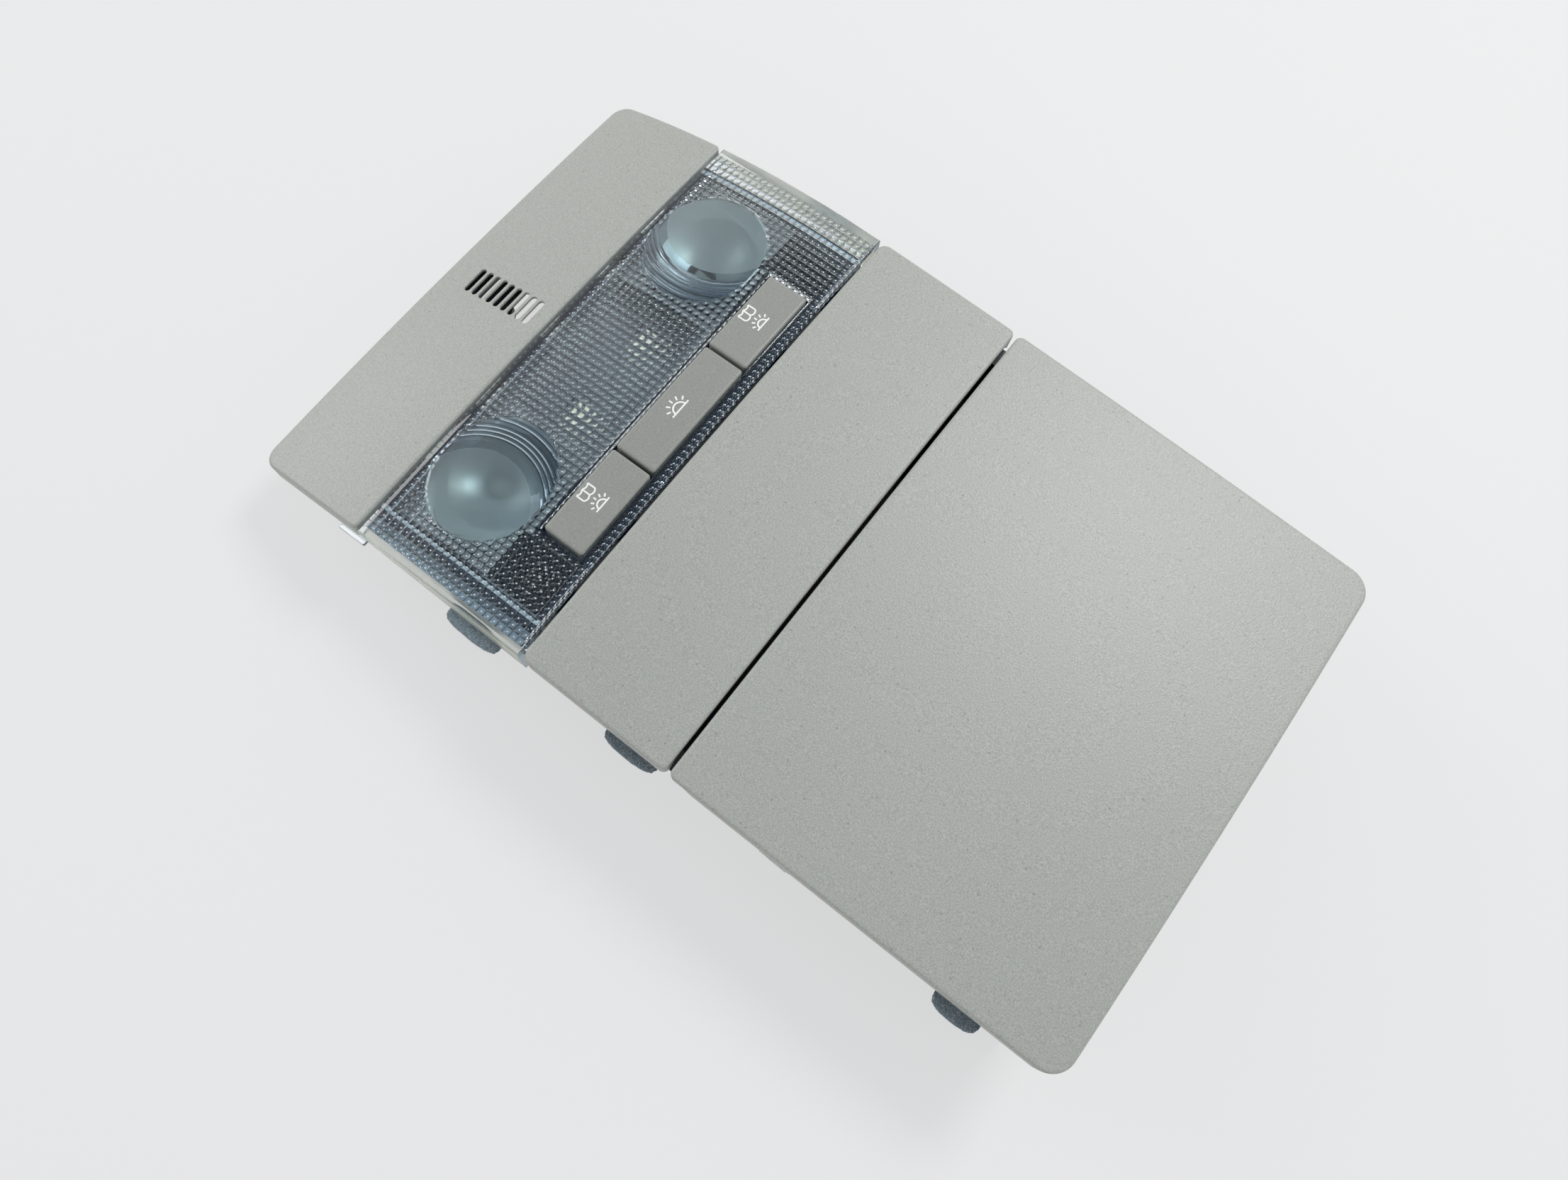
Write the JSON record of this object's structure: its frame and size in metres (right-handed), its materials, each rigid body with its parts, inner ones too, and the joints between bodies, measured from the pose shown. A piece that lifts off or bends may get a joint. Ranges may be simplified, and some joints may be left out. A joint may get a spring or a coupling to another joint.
{
  "type": "car roof console with interior light and glasses box",
  "caption": "Overhead car interior light unit with clear pillow lens, reading optics, push buttons, slotted microphone grille and a drop-down glasses box lid",
  "frame": {"origin": "centre of the back of the unit, on the surface it rests on", "axes": "+Z towards the visible face, +Y towards the microphone end, X across the car"},
  "size_m": [0.168, 0.2708, 0.05],
  "materials": {
    "grained_trim": "fine grain",
    "clear_lens": "clear moulded, pillow optics",
    "button_plastic": "fine grain",
    "dark_housing": "moulded",
    "grey_housing": "moulded",
    "metallised": "bright",
    "circuit_board": "lacquered",
    "led": "phosphor cream",
    "steel": "zinc plated",
    "acetal": "natural",
    "felt": "needled felt",
    "flock": "flocked lining",
    "foam": "thin foam"
  },
  "bodies": {
    "console": {"front_trim": "grained_trim", "lens": "clear_lens", "middle_trim": "grained_trim", "carrier_frame": "dark_housing", "lamp_housing": "grey_housing", "reflector": "metallised", "lamp_board": "circuit_board", "centre_led_left": "led", "centre_led_right": "led", "reading_led_left": "led", "reading_led_right": "led", "switch_left": "dark_housing", "switch_centre": "dark_housing", "switch_right": "dark_housing", "connector_socket": "dark_housing", "lamp_screws": "steel", "trim_screws": "steel", "microphone_bracket": "dark_housing", "microphone": "dark_housing", "hinge_pin_left": "steel", "hinge_pin_right": "steel", "damper_body": "dark_housing", "latch_housing": "dark_housing", "felt_pad_left_front": "felt", "felt_pad_left_middle": "felt", "felt_pad_left_rear": "felt", "felt_pad_right_front": "felt", "felt_pad_right_middle": "felt", "felt_pad_right_rear": "felt", "foam_pad": "foam"},
    "lid": {"box_lid": "grained_trim", "glasses_tray": "dark_housing", "tray_liner": "flock", "tray_screws": "steel", "gear_sector": "acetal", "latch_striker": "dark_housing"},
    "button_left": {"button_left": "button_plastic"},
    "button_centre": {"button_centre": "button_plastic"},
    "button_right": {"button_right": "button_plastic"},
    "latch_plunger": {"latch_plunger": "acetal"},
    "damper_pinion": {"damper_pinion": "acetal"}
  },
  "joints": [
    {"name": "lid_hinge", "type": "hinge", "parent": "console", "child": "lid", "pos_m": [0, 0.0014, 0.04], "axis": [-1, 0, 0], "range_deg": [0, 55]},
    {"name": "button_left_push", "type": "slide", "parent": "console", "child": "button_left", "axis": [0, 0, -1], "range_m": [0, 0.0015], "stiffness_N_per_m": 1500},
    {"name": "button_centre_push", "type": "slide", "parent": "console", "child": "button_centre", "axis": [0, 0, -1], "range_m": [0, 0.0015], "stiffness_N_per_m": 1500},
    {"name": "button_right_push", "type": "slide", "parent": "console", "child": "button_right", "axis": [0, 0, -1], "range_m": [0, 0.0015], "stiffness_N_per_m": 1500},
    {"name": "latch_push", "type": "slide", "parent": "console", "child": "latch_plunger", "axis": [0, 0, -1], "range_m": [0, 0.003], "stiffness_N_per_m": 400},
    {"name": "damper_spin", "type": "hinge", "parent": "console", "child": "damper_pinion", "pos_m": [-0.066, -0.0131, 0.01489], "axis": [-1, 0, 0], "range_deg": [-270, 10]}
  ],
  "couplings": [
    {"joint": "damper_spin", "follows": "lid_hinge", "ratio": -4.8}
  ]
}
